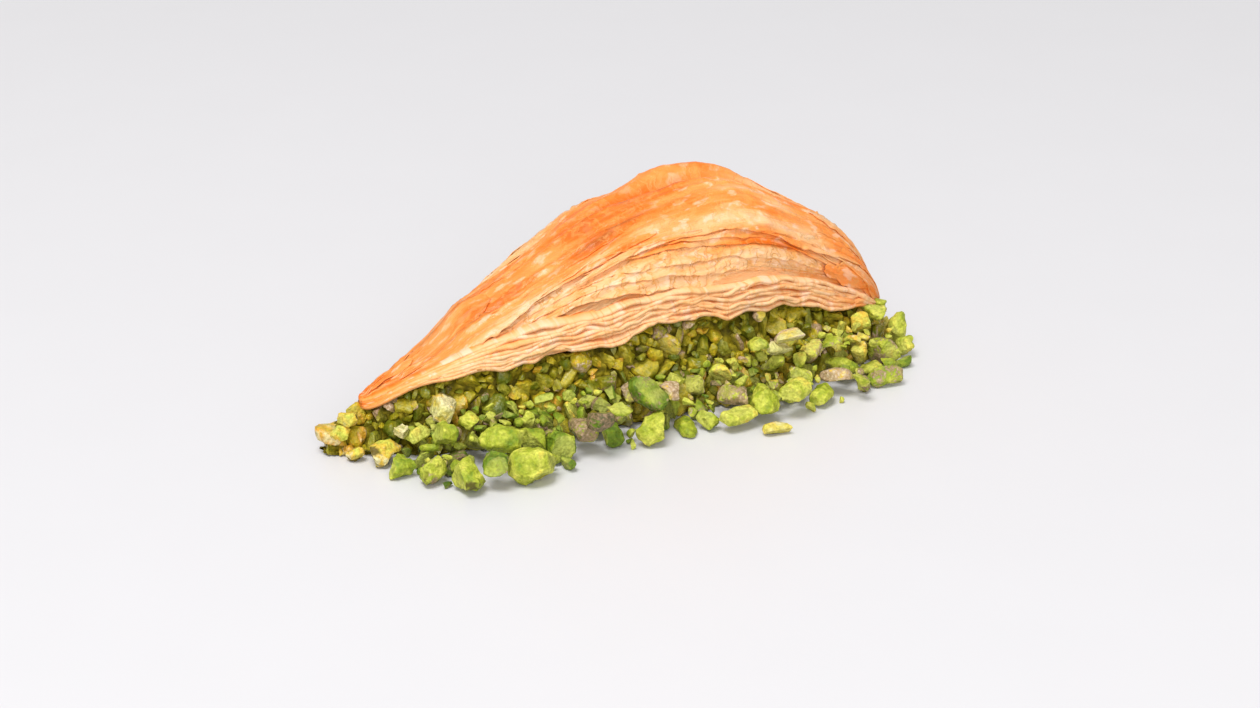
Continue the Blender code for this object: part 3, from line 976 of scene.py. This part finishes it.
# %% Nuts placed from a list
ON_SURFACE = [
    # x, y, kind, shape, size, heading, tilt, roll, tint, skin
    (-48.0, -37.8, "pieces", 3, 1.22, -20, 12, 40, 0.52, 0.0),
    (-53.0, -30.0, "kernels", 9, 1.05, -30, 0, 60, 0.44, 0.0),
    (-64.1, -34.6, "pieces", 11, 1.12, 10, 5, 30, 0.50, 0.0),
    (-57.2, -36.8, "pieces", 14, 0.88, 60, 0, 10, 0.22, 0.45),
    (-70.2, -26.2, "pieces", 2, 0.82, 35, 0, 90, 0.50, 0.40),
    (-75.6, -18.5, "pieces", 5, 0.85, 0, 0, 0, 0.35, 0.0),
    (-76.8, -9.5, "pieces", 9, 1.00, 15, 0, 45, 0.84, 0.1),
    (-82.4, -4.8, "pieces", 10, 0.55, 80, 0, 20, 0.80, 0.0),
    (-84.8, 0.0, "pieces", 13, 0.50, 10, 0, 70, 0.76, 0.0),
    (-36.0, -30.5, "pieces", 12, 1.00, 80, 10, 20, 0.26, 0.0),
    (-42.0, -27.5, "pieces", 17, 0.95, 10, 10, 20, 0.36, 0.0),
    (-28.0, -28.8, "pieces", 20, 1.10, 85, 15, 70, 0.40, 0.65),
    (-26.4, -35.0, "chunks", 21, 0.85, 80, 0, 0, 0.12, 0.7),
    (-19.5, -28.5, "pieces", 1, 0.85, 15, 0, 0, 0.20, 0.0),
    (-20.5, -33.4, "slivers", 2, 1.00, -10, 0, 0, 0.45, 0.0),
    (-10.2, -32.8, "pieces", 6, 1.00, -15, 0, 10, 0.52, 0.0),
    (-8.5, -27.0, "kernels", 6, 0.95, -60, 20, 200, 0.16, 0.45),
    (1.3, -30.8, "kernels", 3, 0.80, 75, 5, 0, 0.42, 0.0),
    (7.6, -31.6, "pieces", 22, 0.80, 20, 0, 0, 0.44, 0.15),
    (14.4, -35.6, "slivers", 4, 1.25, 3, 0, 10, 0.62, 0.0),
    (16.5, -29.5, "pieces", 24, 0.85, -20, 10, 0, 0.50, 0.75),
    (23.2, -34.2, "pieces", 25, 0.95, 70, 0, 0, 0.48, 0.1),
    (31.6, -36.4, "kernels", 5, 0.86, 25, 0, 15, 0.60, 0.0),
    (22.0, -42.6, "slivers", 6, 1.15, -8, 0, 0, 0.85, 0.05),
    (26.0, -25.5, "kernels", 0, 0.78, -60, 15, 0, 0.32, 0.0),
    (43.0, -31.5, "kernels", 11, 0.90, 40, 0, 0, 0.46, 0.35),
    (49.5, -28.5, "kernels", 9, 0.85, -50, 0, 0, 0.80, 0.80),
    (53.2, -34.8, "crumbs", 1, 1.70, 70, 0, 0, 0.55, 0.0),
    (64.5, -29.8, "kernels", 7, 0.85, -12, 0, 20, 0.42, 0.55),
    (76.5, -22.0, "slivers", 8, 1.10, 20, 0, 0, 0.25, 0.0),
    (64.8, -22.5, "kernels", 8, 0.80, 12, 0, 5, 0.58, 0.05),
    (72.5, -16.5, "pieces", 4, 1.10, 100, 10, 40, 0.50, 0.55),
    (55.5, -22.5, "kernels", 2, 0.80, -15, 10, 0, 0.45, 0.0),
    (82.6, -8.2, "kernels", 10, 0.85, 20, -72, 0, 0.56, 0.0),
    (80.6, -15.6, "pieces", 23, 0.75, 20, 0, 0, 0.60, 0.1),
]
ON_TOP = [
    (-60.5, -12.4, "pieces", 15, 1.05, 60, 0, 20, 1.00, 0.10),
    (-71.5, -9.6, "pieces", 16, 0.55, 20, 0, 20, 1.00, 0.30),
    (-69.0, -16.0, "slivers", 1, 1.00, 30, 0, 20, 0.66, 0.0),
    (-63.5, -20.0, "pieces", 18, 0.80, 0, 0, 60, 0.40, 0.0),
    (-82.4, -0.6, "pieces", 19, 0.55, 0, 0, 0, 0.86, 0.0),
    (-1.2, -27.0, "pieces", 0, 0.72, 30, 0, 0, 0.80, 0.80),
    (34.6, -21.6, "slivers", 3, 1.05, 15, 10, 0, 1.00, 0.25),
    (37.7, -22.6, "slivers", 5, 1.10, -10, -10, 0, 0.95, 0.70),
    (28.6, -21.8, "kernels", 4, 0.80, 70, 20, 0, 0.50, 0.0),
    (41.4, -18.0, "slivers", 7, 1.00, 30, 0, 0, 0.75, 0.1),
    (51.5, -22.0, "kernels", 1, 0.72, 30, 0, 0, 0.45, 0.3),
]

ROOM_BELOW = 4.5 * MM         # how much lower the pile is kept under a nut that lies on it
placed = []


def place_by_hand(nuts):
    """Lays these nuts on the map, the later ones on the earlier, and lets no others lie on them."""
    for x, y, kind, number, size, heading, tilt, roll, tint, skin in nuts:
        number = number % len(NUTS[kind])
        matrix = turned(heading, tilt, roll, size)
        points = samples(NUTS[kind][number], matrix)
        z = resting_height(points, x * MM, y * MM)
        settle(points, x * MM, y * MM, z)
        rows, columns = cells_under(points, x * MM, y * MM)
        pile_limit[rows, columns] = 0.0
        placed.append(Placed(kind, number, matrix, (x * MM, y * MM, z), tint, skin))
    print(len(nuts), "nuts placed by hand")


place_by_hand(ON_SURFACE)
for x, y, kind, number, size, heading, tilt, roll, tint, skin in ON_TOP:
    rows, columns = cells_under(NUTS[kind][number % len(NUTS[kind])].points * size, x * MM, y * MM)
    pile_limit[rows, columns] = np.maximum(pile_limit[rows, columns] - ROOM_BELOW, 0.0)

# %% [markdown]
# ### The rest of the pile
# The other nuts are dropped at random, large ones first and then ever smaller ones that fill the gaps. A
# nut stays only if it doesn't rise above the pile's limit, or if it lies on the surface and is low. The
# pile may spread a little past the solid's outline, but not in front of the listed nuts and not round the
# blunt end.

# %% Fill the rest of the pile
# Each round: kind, tries, smallest and largest size.
FILL = [("chunks", 500, 0.80, 1.15), ("kernels", 60, 0.70, 0.90), ("chunks", 900, 0.55, 0.85),
        ("slivers", 400, 0.70, 1.10), ("chunks", 3000, 0.40, 0.65), ("crumbs", 5000, 0.80, 1.60)]
PALER_TO_END = 0.18           # how much paler the nuts are at the blunt end than in the middle
FIRST_LAYER = 6.0 * MM        # how high a nut that lies on the surface may reach


def nut_colour():
    """A random tint and amount of skin, in the shares seen in chopped pistachio."""
    tint = draw.choice((0.15, 0.28, 0.36, 0.42, 0.48, 0.55, 0.62, 0.70)) + draw.uniform(-0.06, 0.06)
    skin = draw.choice((0.0, 0.0, 0.0, 0.0, 0.15, 0.3, 0.5, 0.7))
    return tint, skin


def drop_nuts(kind, tries, smallest, largest):
    """Drops nuts of one kind where the pile may still grow, and returns how many came to rest."""
    rested = 0
    for _ in range(tries):
        row, column = OPEN_CELLS[draw.randrange(len(OPEN_CELLS))]
        x = MAP_X[row] + draw.uniform(-0.5, 0.5) * CELL
        y = MAP_Y[column] + draw.uniform(-0.5, 0.5) * CELL
        number = draw.randrange(len(NUTS[kind]))
        matrix = turned(draw.uniform(0, 360), draw.uniform(-25, 25), draw.uniform(0, 360),
                        draw.uniform(smallest, largest))
        points = samples(NUTS[kind][number], matrix)
        z = resting_height(points, x, y)
        tint, skin = nut_colour()
        tint += PALER_TO_END * x / CAD_BOX[1][0]
        on_surface = z + points[:, 2].min() < 0.5 * MM
        top = z + points[:, 2].max()
        if top > max(pile_limit[row, column] + 1.0 * MM, FIRST_LAYER if on_surface else 0.0):
            continue
        settle(points, x, y, z)
        placed.append(Placed(kind, number, matrix, (x, y, z), tint, skin))
        rested += 1
    return rested


FRONT_EDGE, BLUNT_EDGE = -37 * MM, 80 * MM
CELLS_PAST = 2                # how many cells the pile may spread past the solid
reached = pile_limit > 1.0 * MM
for _ in range(CELLS_PAST):
    reached[1:-1, 1:-1] |= reached[:-2, 1:-1] | reached[2:, 1:-1] | reached[1:-1, :-2] | reached[1:-1, 2:]
    reached[:, MAP_Y < FRONT_EDGE] = False
    reached[MAP_X > BLUNT_EDGE] = False
OPEN_CELLS = np.argwhere(reached)
for kind, tries, smallest, largest in FILL:
    print(kind, drop_nuts(kind, tries, smallest, largest), "came to rest")
place_by_hand(ON_TOP)

# %% [markdown]
# ## Join the copies
# Hundreds of separate objects would be slow and hard to handle, so all nuts of one kind become one mesh.
# The arrays of the copies are put end to end. Each point carries the nut's tint, its share of skin and
# whether it is on a cut side. The finishes read their noise at the nut's own place, so no two copies look
# alike. Each point also keeps how deep it lies in the heap, and the finishes darken the deep points: this
# is painted shade in the gaps between nuts.

# %% Join nuts of one kind
SHARP_FROM = math.radians(52)           # edges sharper than this stay crisp where a nut broke


def join_nuts(name, nuts):
    """One mesh piece from placed nuts."""
    points, triangles, cut, tint, skin = [], [], [], [], []
    count = 0
    for nut in nuts:
        shape = NUTS[nut.kind][nut.number]
        points.append(shape.points @ nut.matrix.T + nut.place)
        triangles.append(shape.triangles + count)
        cut.append(shape.cut)
        tint.append(np.full(len(shape.points), nut.tint))
        skin.append(np.full(len(shape.points), nut.skin))
        count += len(shape.points)
    points, triangles = np.concatenate(points), np.concatenate(triangles)
    mesh = bpy.data.meshes.new(name)
    mesh.vertices.add(len(points))
    mesh.vertices.foreach_set("co", points.astype(np.float32).ravel())
    mesh.loops.add(triangles.size)
    mesh.loops.foreach_set("vertex_index", triangles.astype(np.int32).ravel())
    mesh.polygons.add(len(triangles))
    mesh.polygons.foreach_set("loop_start", np.arange(0, triangles.size, 3, dtype=np.int32))
    mesh.update(calc_edges=True)
    mesh.validate()
    for attribute, values in (("cut", cut), ("tint", tint), ("skin", skin)):
        set_attribute(mesh, attribute, np.concatenate(values))
    mesh.shade_smooth()
    mesh.set_sharp_from_angle(angle=SHARP_FROM)
    return new_object(name, mesh)


def store_depth(piece, node, full):
    """Stores how deep each point lies in the heap, from 0 at the node's surface to 1 at the full depth."""
    depths = []
    for vertex in piece.data.vertices:
        nearest, normal, index, distance = TREES[node].find_nearest(vertex.co)
        inside = (vertex.co - nearest).dot(normal) < 0.0
        depths.append(min(distance / full, 1.0) if inside else 0.0)
    set_attribute(piece.data, "depth", depths)


def join_kinds(prefix, nuts, node, full):
    """One piece for each kind among these nuts, with the depth of its points under the node's surface."""
    pieces = []
    for kind in NUTS:
        of_kind = [nut for nut in nuts if nut.kind == kind]
        if of_kind:
            pieces.append(join_nuts(f"{prefix}_{kind}", of_kind))
            store_depth(pieces[-1], node, full)
    return pieces


LOOSE_DEPTH, PACKED_DEPTH = 5.5 * MM, 3.0 * MM      # at which the gaps are darkest
loose = join_kinds("loose", placed, "loose_nuts", LOOSE_DEPTH)
print(len(placed), "loose nuts in", len(loose), "pieces")

# %% [markdown]
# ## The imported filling
# Under the pastry the nuts are chopped finer, soaked with syrup and pressed into a mass. Its inside is a
# smaller copy of the filling solid with a rough relief. Pieces of nut are then set into its surface, large
# ones first, each where none of its neighbours is too near, half sunk as they are in the real mass.

# %% The core of the filling
CORE_INSET = 1.5 * MM
LEAST_HEIGHT = 0.1 * MM       # of anything in the filling over the surface
core = copy_of_node("filling", "filling_core")
for _ in range(3):
    edit_all(bpy.ops.mesh.subdivide, number_cuts=1)
apply_modifier(core, "DISPLACE", strength=-CORE_INSET, mid_level=0.0)
spots = points_of(core.data)
outward = np.array([vertex.normal for vertex in core.data.vertices])
relief = 1.5 * lumps(spots, 3.6 * MM, 1.0) + 0.9 * lumps(spots, 1.5 * MM, 7.0)
spots = spots + outward * (relief * MM)[:, None]
spots[:, 2] = np.maximum(spots[:, 2], LEAST_HEIGHT)
move_points(core.data, spots)
bpy.ops.object.shade_smooth()

# %% [markdown]
# ### Nuts in the filling's surface
# A place is drawn at random on the filling solid, so large faces get more nuts. It is left out where it is
# covered or where a nut would come up through the pastry's foot. Towards the pointed end, where syrup has
# gathered, the nuts are yellower and have no skin.

# %% Set nuts into its surface
def faces_of(node):
    """Corner places, normals and areas of a node's faces."""
    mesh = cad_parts[node].data
    mesh.calc_loop_triangles()
    corners = points_of(mesh)[[list(face.vertices) for face in mesh.loop_triangles]]
    normals = np.cross(corners[:, 1] - corners[:, 0], corners[:, 2] - corners[:, 0])
    areas = np.linalg.norm(normals, axis=1)
    return corners, normals / np.maximum(areas, 1e-15)[:, None], areas


CORNERS, NORMALS, AREAS = faces_of("filling")
face_weights = (np.cumsum(AREAS) / AREAS.sum()).tolist()
set_in = []
set_places, set_sizes = np.zeros((0, 3)), np.zeros(0)


def hidden(place, normal):
    """True where the pastry lies on the filling, or where it faces the surface that it stands on."""
    if normal[2] < -0.5 or place[2] < 1.0 * MM:
        return True
    over = TREES["pastry"].ray_cast(Vector(place), Vector((0, 0, 1)), 4 * MM)[0]
    deep = TREES["pastry"].ray_cast(Vector(place), Vector((0, -1 if place[1] < 8 * MM else 1, 0)))[0]
    return over is not None and deep is not None


def set_nuts(kind, tries, smallest, largest, apart, sunk):
    """Sets nuts of one kind into the filling; apart is how near neighbours may be, sunk how deep they sit."""
    global set_places, set_sizes
    rested = 0
    for _ in range(tries):
        face = int(np.searchsorted(face_weights, draw.random()))
        first, second = draw.random(), draw.random()
        if first + second > 1.0:
            first, second = 1.0 - first, 1.0 - second
        corner = CORNERS[face]
        place = corner[0] + (corner[1] - corner[0]) * first + (corner[2] - corner[0]) * second
        size = draw.uniform(smallest, largest)
        number = draw.randrange(len(NUTS[kind]))
        angles = [draw.uniform(0, 360) for _ in range(3)]
        looks = draw.random(), draw.random(), draw.random()
        if hidden(place, NORMALS[face]):
            continue
        shape = NUTS[kind][number]
        reach = np.linalg.norm(shape.points, axis=1).mean() * size
        place = place - NORMALS[face] * sunk * MM
        gaps = np.linalg.norm(set_places - place, axis=1)
        if (gaps < (set_sizes + reach) * apart).any():
            continue
        matrix = turned(*angles, size)
        heights = (shape.points @ matrix.T)[:, 2]
        place[2] = max(place[2], LEAST_HEIGHT - heights.min())
        x, (crest_y, crest_z, front_y, front_z, back_y, back_z) = section_at((place[0] - TIP_X) / LENGTH)
        under = front_y - 3 * MM < place[1] < back_y + 3 * MM and TIP_X < place[0] < TIP_X + LENGTH
        if under and place[2] + heights.max() > front_z - 0.2 * MM:
            continue
        end = ease(-place[0], 70 * MM, 84 * MM)
        tint = 0.22 + 0.56 * looks[0] + 0.30 * float(end) + 0.06 * place[0] / CAD_BOX[1][0]
        skin = 0.0 if looks[1] < 0.60 else 0.85 * looks[2]
        tint, skin = min(max(tint, 0.0), 0.90), skin * (1.0 - float(end))
        set_in.append(Placed(kind, number, matrix, place, tint, skin))
        set_places = np.concatenate([set_places, place[None, :]])
        set_sizes = np.append(set_sizes, reach)
        rested += 1
    return rested


# Each round: kind, tries, smallest and largest size, how near as a share of both sizes, and how deep in mm.
SET_IN = [("chunks", 1800, 0.75, 1.10, 0.90, 1.4), ("slivers", 1500, 0.7, 1.1, 0.70, 1.0),
          ("chunks", 5000, 0.40, 0.70, 0.70, 0.9), ("crumbs", 9000, 0.8, 1.6, 0.62, 0.6)]
for kind, tries, smallest, largest, apart, sunk in SET_IN:
    print("filling", kind, set_nuts(kind, tries, smallest, largest, apart, sunk), "set in")
packed = join_kinds("filling", set_in, "filling", PACKED_DEPTH)

# %% [markdown]
# ## Nut finishes
# Pistachio flesh runs from leaf green to yellow. The side that was under the skin is greener and may keep
# patches of the thin mauve-brown skin, while a broken side is paler and duller. In the filling, syrup makes
# the pieces darker, yellower and shiny. Points deep in the heap go over to a dark olive brown, which is
# painted shade in the gaps between nuts.

# %% The nut material
SKIN_STOPS = [(0.25, (0.10, 0.09, 0.04)), (0.45, (0.25, 0.16, 0.09)), (0.62, (0.42, 0.28, 0.18)),
              (0.80, (0.62, 0.50, 0.34))]
# The colour of the painted shade in the gaps: points deep in the heap go over to it.
GAP_SHADE_COLOUR = (0.070, 0.050, 0.004)
SPECK_COLOUR = (0.14, 0.15, 0.01)


def nut_finish(name, stops, flesh, flesh_share, gloss, roughness):
    """Pistachio with these tint stops; a broken side goes over to the flesh colour by flesh_share."""
    material, tree, shader = start_material(name)
    spot = add_node(tree, "ShaderNodeTexCoord").outputs["Object"]
    tint, skin, cut = stored(tree, "tint"), stored(tree, "skin"), stored(tree, "cut")
    blotches = speckle(tree, spot, 240.0, detail=3.0)
    pores = speckle(tree, spot, 620.0, detail=2.0)
    fine = speckle(tree, spot, 1300.0, detail=3.0)
    shade = vary(tree, vary(tree, tint, blotches, 0.18), pores, 0.10)
    colour = ramp(tree, shade, stops)
    colour = mix(tree, maths(tree, "MULTIPLY", cut, flesh_share), colour, flesh)
    colour = mix(tree, level(tree, fine, 0.40, 0.65, 0.0, 0.40), colour, SPECK_COLOUR)
    torn = speckle(tree, spot, 200.0, detail=4.0)
    torn = maths(tree, "ADD", torn, level(tree, skin, 0.0, 1.0, -0.35, 0.30))
    torn = vary(tree, torn, fine, 0.10)
    cover = maths(tree, "MULTIPLY", level(tree, torn, 0.46, 0.58), level(tree, cut, 0.2, 0.7, 0.9, 0.12))
    skin_shade = maths(tree, "ADD", fine, level(tree, tint, 0.0, 1.0, -0.15, 0.2))
    colour = mix(tree, cover, colour, ramp(tree, skin_shade, SKIN_STOPS))
    # Painted shade: points deep in the heap go over to a dark olive brown.
    painted_gap_shade = level(tree, stored(tree, "depth"), 0.10, 0.85, 0.0, 0.88)
    colour = mix(tree, painted_gap_shade, colour, GAP_SHADE_COLOUR)
    tree.links.new(colour, shader.inputs["Base Color"])
    dull = level(tree, blotches, 0.3, 0.7, roughness - 0.1, roughness + 0.1)
    tree.links.new(dull, shader.inputs["Roughness"])
    set_sockets(shader, Coat_Weight=gloss, Coat_Roughness=0.2, Specular_IOR_Level=0.28,
                Subsurface_Weight=0.05, Subsurface_Radius=(0.0010, 0.0012, 0.0003), Subsurface_Scale=1.0)
    relief = maths(tree, "ADD", maths(tree, "MULTIPLY", fine, 0.5), maths(tree, "MULTIPLY", pores, 1.6))
    add_bump(tree, shader, relief, 0.7, 0.8 * MM)
    return material


LOOSE_STOPS = [(0.0, (0.052, 0.105, 0.006)), (0.22, (0.155, 0.25, 0.014)), (0.45, (0.38, 0.435, 0.028)),
               (0.66, (0.68, 0.68, 0.10)), (0.86, (0.76, 0.48, 0.05)), (1.0, (0.78, 0.69, 0.36))]
PACKED_STOPS = [(0.0, (0.050, 0.082, 0.004)), (0.25, (0.125, 0.150, 0.006)), (0.48, (0.31, 0.262, 0.008)),
                (0.70, (0.56, 0.42, 0.016)), (0.86, (0.70, 0.34, 0.03)), (1.0, (0.72, 0.58, 0.26))]
loose_nut = nut_finish("loose_nut", LOOSE_STOPS, (0.60, 0.60, 0.13), 0.55, gloss=0.0, roughness=0.58)
packed_nut = nut_finish("packed_nut", PACKED_STOPS, (0.46, 0.41, 0.05), 0.42, gloss=0.25, roughness=0.40)

for piece in loose:
    finish_piece(piece, "loose_nuts", loose_nut)
for piece in packed:
    finish_piece(piece, "filling", packed_nut)

# %% The core's material
def paste_finish():
    """The finely chopped, soaked mass between the larger pieces: matt and olive brown, with paler grains."""
    material, tree, shader = start_material("nut_paste")
    spot = add_node(tree, "ShaderNodeTexCoord").outputs["Object"]
    grains = speckle(tree, spot, 420.0, detail=4.0)
    colour = ramp(tree, grains, [(0.30, (0.060, 0.046, 0.002)), (0.46, (0.13, 0.105, 0.004)),
                                 (0.58, (0.25, 0.20, 0.008)), (0.72, (0.46, 0.36, 0.03))])
    tree.links.new(colour, shader.inputs["Base Color"])
    set_sockets(shader, Roughness=0.70, Specular_IOR_Level=0.15)
    add_bump(tree, shader, grains, 0.8, 0.6 * MM)
    return material


finish_piece(core, "filling", paste_finish())

# %% [markdown]
# ## The surface, the light and the camera
# The piece lies on a plain pale surface in a bright studio: a large soft light from above, a broad one from
# the front left, and an even white surround, so that shadows are faint. The camera looks down at the open
# side from the front.

# %% The surface
bpy.ops.mesh.primitive_plane_add(size=6.0, location=(0.0, 0.0, 0.0))
surface = bpy.context.object
surface.name = "surface"
pale, tree, shader = start_material("pale_surface")
grain = speckle(tree, add_node(tree, "ShaderNodeTexCoord").outputs["Object"], 30.0)
shade = ramp(tree, grain, [(0.0, (0.665, 0.655, 0.670)), (1.0, (0.678, 0.668, 0.684))])
tree.links.new(shade, shader.inputs["Base Color"])
set_sockets(shader, Roughness=0.35)
surface.data.materials.append(pale)

# %% Lights
def soft_light(name, place, aim, size, power):
    """A square area light that faces a point."""
    lamp = bpy.data.lights.new(name, "AREA")
    lamp.size = size
    lamp.energy = power
    light = new_object(name, lamp)
    light.location = place
    light.rotation_euler = (Vector(aim) - Vector(place)).to_track_quat("-Z", "Y").to_euler()


middle = (CAD_BOX[0] + CAD_BOX[1]) / 2
soft_light("top_light", (-0.9, -0.6, 2.5), middle, 1.2, 62.0)
soft_light("front_light", (-0.9, -2.2, 1.1), middle, 1.6, 30.0)
world = bpy.data.worlds.new("studio")
world.use_nodes = True
world.node_tree.nodes["Background"].inputs["Color"].default_value = (1.0, 1.0, 1.0, 1.0)
world.node_tree.nodes["Background"].inputs["Strength"].default_value = 0.50
bpy.context.scene.world = world
bpy.context.scene.view_settings.view_transform = "Standard"

# %% The camera
CAMERA_DISTANCE = 0.790                  # in metres, like everything in the scene
CAMERA_ELEVATION = math.radians(23.5)
CAMERA_HEADING = math.radians(28.5)      # round from the long side, towards the tip
AIM = Vector((13.3 * MM, 22.5 * MM, 0.0))
look = Vector((math.cos(CAMERA_ELEVATION) * math.sin(CAMERA_HEADING),
               math.cos(CAMERA_ELEVATION) * math.cos(CAMERA_HEADING), -math.sin(CAMERA_ELEVATION)))
lens = bpy.data.cameras.new("camera")
lens.lens = 80.0
lens.sensor_width = 36.0
lens.clip_start = 0.01
camera = new_object("camera", lens)
camera.location = AIM - look * CAMERA_DISTANCE
camera.rotation_euler = look.to_track_quat("-Z", "Y").to_euler()
bpy.context.scene.camera = camera
